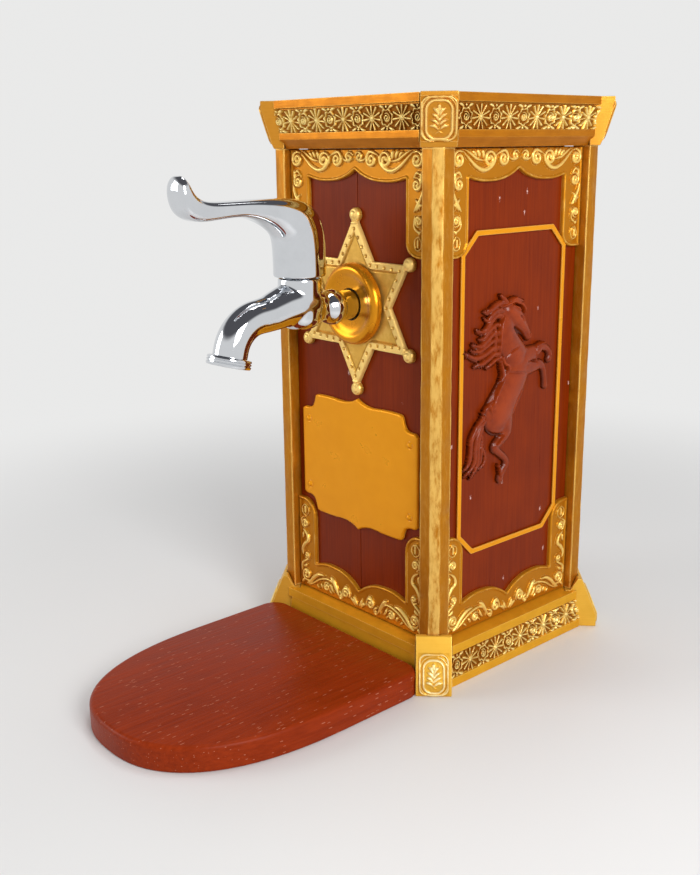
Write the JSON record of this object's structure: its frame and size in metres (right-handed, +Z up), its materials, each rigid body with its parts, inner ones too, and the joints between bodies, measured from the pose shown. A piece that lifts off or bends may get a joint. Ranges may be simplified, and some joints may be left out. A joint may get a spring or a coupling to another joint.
{
  "type": "shot dispenser",
  "caption": "Square gilt cabinet with a quarter-turn tap over a tray, holding a hidden tank that is filled through a lift-off lid.",
  "frame": {"origin": "middle of the cabinet's underside, on the plane that it stands on", "axes": "+Z up, -Y towards the tap and the tray, +X to the right as seen from the front"},
  "size_m": [0.1232, 0.2409, 0.245],
  "materials": {
    "red_paint": "red-brown painted, satin gloss over fine upright grain",
    "red_gloss": "red-brown painted, glossy",
    "gold_paint": "hand-brushed metallic gold paint",
    "gold_trim": "metallic gold paint, brighter on raised edges",
    "chrome": "polished",
    "steel": "plain",
    "rubber": "matte black",
    "tank_plastic": "food-grade, translucent white"
  },
  "bodies": {
    "cabinet": {"back_octagon_trim": "gold_trim", "back_wall": "red_paint", "base_block_back_left": "gold_paint", "base_block_back_right": "gold_paint", "base_block_front_left": "gold_paint", "base_block_front_right": "gold_paint", "base_rail_back": "gold_paint", "base_rail_front": "gold_paint", "base_rail_left": "gold_paint", "base_rail_right": "gold_paint", "bonnet_nut": "steel", "corner_post_back_left": "gold_paint", "corner_post_back_right": "gold_paint", "corner_post_front_left": "gold_paint", "corner_post_front_right": "gold_paint", "crown_block_back_left": "gold_paint", "crown_block_back_right": "gold_paint", "crown_block_front_left": "gold_paint", "crown_block_front_right": "gold_paint", "crown_rail_back": "gold_paint", "crown_rail_front": "gold_paint", "crown_rail_left": "gold_paint", "crown_rail_right": "gold_paint", "floor_panel": "red_paint", "front_board_left": "red_paint", "front_board_right": "red_paint", "inner_washer": "rubber", "left_horse_relief": "red_gloss", "left_octagon_trim": "gold_trim", "left_wall": "red_paint", "lock_nut": "steel", "lower_scroll_frame_back": "gold_trim", "lower_scroll_frame_front": "gold_trim", "lower_scroll_frame_left": "gold_trim", "lower_scroll_frame_right": "gold_trim", "name_plate": "gold_trim", "nozzle_ring": "chrome", "outer_washer": "rubber", "reservoir_tank": "tank_plastic", "right_horse_relief": "red_gloss", "right_octagon_trim": "gold_trim", "right_wall": "red_paint", "shelf_cleat_left": "red_paint", "shelf_cleat_right": "red_paint", "star_badge": "gold_trim", "tank_shelf": "red_paint", "tap_body": "chrome", "tap_ring": "gold_trim", "tray": "red_gloss", "tray_screw_left": "steel", "tray_screw_right": "steel", "upper_scroll_frame_back": "gold_trim", "upper_scroll_frame_front": "gold_trim", "upper_scroll_frame_left": "gold_trim", "upper_scroll_frame_right": "gold_trim"},
    "tap_lever": {"handle_grub_screw": "steel", "stem_o_ring": "rubber", "tap_handle": "chrome", "valve_plug": "steel"},
    "lid": {"lid_panel": "red_paint"}
  },
  "joints": [
    {"name": "tap_turn", "type": "hinge", "parent": "cabinet", "child": "tap_lever", "pos_m": [0, -0.0784, 0.1608], "axis": [0, 0, 1], "range_deg": [0, 90]},
    {"name": "lid_lift", "type": "slide", "parent": "cabinet", "child": "lid", "axis": [0, 0, 1], "range_m": [0, 0.04]}
  ]
}
